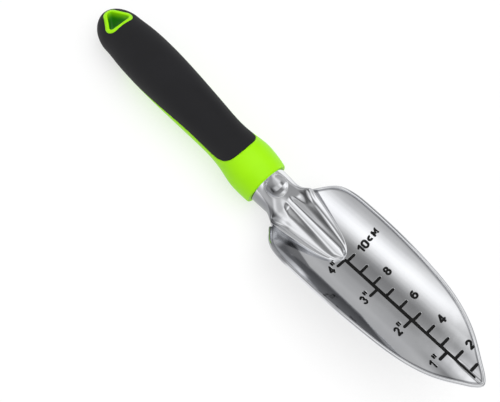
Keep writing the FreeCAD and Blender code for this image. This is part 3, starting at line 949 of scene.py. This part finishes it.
# The studio round the tool: how bright it is by angle from straight overhead, towards +Y, in degrees. Each
# part of it lies further towards the tool's +X than the one before. STUDIO_SPLITS says where one turns
# into the next.
STUDIO = [
    [(-90, 0.45), (-20, 0.60), (13, 0.95), (46, 0.60), (90, 0.30)],
    [(-90, 0.50), (-74, 0.50), (-65, 0.62), (-56, 0.86), (-48, 1.08), (-41, 1.18), (-34, 1.12), (-28, 0.94),
     (-21, 0.68), (-14, 0.44), (-8, 0.29), (0, 0.22), (8, 0.24), (17, 0.29), (30, 0.31), (42, 0.40),
     (55, 0.44), (64, 0.49), (76, 0.46), (90, 0.44)],
    [(-90, 0.50), (-60, 0.50), (-45, 0.40), (-33, 0.16), (-25, 0.28), (-16, 1.05), (-8, 0.85), (3, 0.62),
     (15, 0.90), (30, 1.20), (42, 0.60), (52, 0.10), (60, 0.26), (70, 0.70), (80, 0.50), (90, 0.45)],
    [(-90, 0.35), (-45, 0.45), (-24, 0.85), (0, 0.55), (30, 0.34), (90, 0.32)],
]
STUDIO_SPLITS = [(-0.60, -0.50), (-0.12, -0.05), (0.30, 0.50)]
SUN_POWER = 1.75
SUN_SPREAD = math.radians(70.0)


def make_sun():
    """A broad soft light that fills in the plastics and the floor. The metal mirrors only the studio."""
    data = bpy.data.lights.new("soft_top_light", "SUN")
    data.energy = SUN_POWER
    data.angle = SUN_SPREAD
    sun = bpy.data.objects.new("soft_top_light", data)
    sun.rotation_euler = (math.radians(-12.0), math.radians(14.0), 0.0)
    sun.visible_glossy = False
    bpy.context.scene.collection.objects.link(sun)


def studio_ramp(tree, share, studio, brightest):
    ramp = tree.nodes.new("ShaderNodeValToRGB")
    ramp.color_ramp.interpolation = "EASE"
    elements = ramp.color_ramp.elements
    stops = [((turn + 90) / 180, grey(value / brightest)) for turn, value in studio]
    elements[0].position, elements[0].color = stops[0]
    elements[1].position, elements[1].color = stops[-1]
    for position, color in stops[1:-1]:
        elements.new(position).color = color
    tree.links.new(share, ramp.inputs["Fac"])
    return ramp.outputs["Color"]


def ranged(tree, value, low, high):
    """The value as a share of the way from low to high."""
    share = tree.nodes.new("ShaderNodeMapRange")
    share.inputs["From Min"].default_value = low
    share.inputs["From Max"].default_value = high
    tree.links.new(value, share.inputs["Value"])
    return share.outputs["Result"]


def make_world():
    world = bpy.data.worlds.new("studio")
    bpy.context.scene.world = world
    world.use_nodes = True
    tree = world.node_tree
    background = tree.nodes["Background"]
    parts = tree.nodes.new("ShaderNodeSeparateXYZ")
    direction = tree.nodes.new("ShaderNodeTexCoord").outputs["Generated"]
    tree.links.new(direction, parts.inputs["Vector"])
    angle = tree.nodes.new("ShaderNodeMath")
    angle.operation = "ARCTAN2"
    tree.links.new(parts.outputs["Y"], angle.inputs[0])
    tree.links.new(parts.outputs["Z"], angle.inputs[1])
    turn = ranged(tree, angle.outputs[0], -math.pi / 2, math.pi / 2)
    brightest = max(value for part in STUDIO for _, value in part)
    forward = tree.nodes.new("ShaderNodeVectorMath")
    forward.operation = "DOT_PRODUCT"
    forward.inputs[1].default_value = TOOL_TURN[:, 0]
    tree.links.new(direction, forward.inputs[0])
    color = studio_ramp(tree, turn, STUDIO[0], brightest)
    for part, split in zip(STUDIO[1:], STUDIO_SPLITS):
        mix = tree.nodes.new("ShaderNodeMix")
        mix.data_type = "RGBA"
        tree.links.new(ranged(tree, forward.outputs["Value"], *split), mix.inputs["Factor"])
        tree.links.new(color, mix.inputs[6])
        tree.links.new(studio_ramp(tree, turn, part, brightest), mix.inputs[7])
        color = mix.outputs[2]
    tree.links.new(color, background.inputs["Color"])
    background.inputs["Strength"].default_value = brightest


# The camera, in the tool frame: where it is, what it looks along and which way is right.
CAMERA_EYE = (19.1, -143.6, 426.0)
CAMERA_LOOK = (-0.38815, 0.27054, -0.88099)
CAMERA_RIGHT = (0.67781, 0.73150, -0.07400)
CAMERA_LENS = 57.6


def make_camera():
    data = bpy.data.cameras.new("camera")
    data.lens = CAMERA_LENS
    data.sensor_width = 36.0
    data.clip_start = 0.01
    camera = bpy.data.objects.new("camera", data)
    bpy.context.scene.collection.objects.link(camera)
    origin = to_row((0.0, 0.0, 0.0))
    look, right = (Vector((to_row(v) - origin) / MM).normalized() for v in (CAMERA_LOOK, CAMERA_RIGHT))
    up = right.cross(look)
    turn = Matrix((right, up, -look)).transposed().to_4x4()
    camera.matrix_world = Matrix.Translation(Vector(to_row(CAMERA_EYE))) @ turn
    bpy.context.scene.camera = camera


# ---- the whole ----------------------------------------------------------------------------------

PAINT_NODES = [name for name in sorted(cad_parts) if name.startswith("scale_")]

make_camera()
make_world()
make_sun()
make_floor(pale_floor())

metal = polished_aluminium()
lime = lime_plastic()
rubber = charcoal_rubber()
paint = scale_paint()

blade, neck = make_head()
core, grip, rim = make_handle()
for piece, material, slot in ((blade, metal, "cast_aluminium"), (neck, metal, "cast_aluminium"),
                              (core, lime, "core_plastic"), (rim, lime, "core_plastic"),
                              (grip, rubber, "grip_rubber")):
    piece.data.materials.clear()
    piece.data.materials.append(material)
    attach(piece, "root")
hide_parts("trowel_head")
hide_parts("trowel_head")
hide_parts("handle_core")
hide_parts("handle_core")
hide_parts("soft_grip")
for name in PAINT_NODES:
    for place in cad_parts[name].material_slots:
        place.material = paint

view = bpy.context.scene.view_settings
view.view_transform = "Standard"
